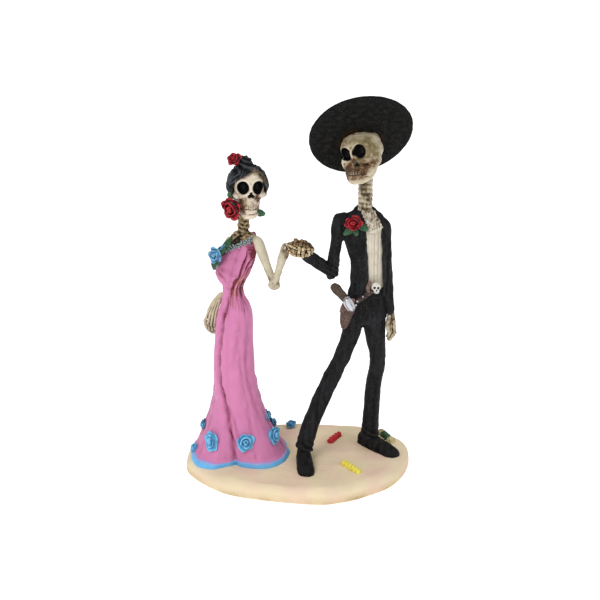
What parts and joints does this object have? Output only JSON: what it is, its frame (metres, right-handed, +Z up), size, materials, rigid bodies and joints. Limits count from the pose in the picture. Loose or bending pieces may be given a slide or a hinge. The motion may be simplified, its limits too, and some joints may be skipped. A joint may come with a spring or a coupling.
{
  "type": "day of the dead skeleton figure",
  "caption": "Painted cast ornament: a skeleton bride in a long pink gown and a skeleton groom in a black suit and sombrero stand hand in hand on an oval of sand.",
  "frame": {"origin": "middle of the underside of the sand base", "axes": "+Z up, +X towards the groom's side of the base, -Y towards the front, where both figures look"},
  "size_m": [0.1199, 0.084, 0.2102],
  "materials": {
    "bone": "cream bone paint with a brown wash in the hollows, satin",
    "pink_cloth": "pink paint with a dark red wash in the folds, matte",
    "blue_petal": "light blue paint with a darker wash, matte",
    "black_cloth": "black paint, satin, with a little dust on the high places",
    "shirt_cloth": "ivory paint with a tan wash, matte",
    "red_petal": "deep red paint with a dark wash between the petals, satin",
    "leaf": "leaf green paint, satin",
    "sand": "pale sand paint with fine grit, matte",
    "belt_leather": "dark brown paint with worn edges, satin",
    "gun_metal": "silver paint, satin",
    "red_bit": "red paint, satin",
    "yellow_bit": "yellow paint, satin"
  },
  "bodies": {
    "root": {"skeleton_couple": "bone"}
  },
  "joints": []
}
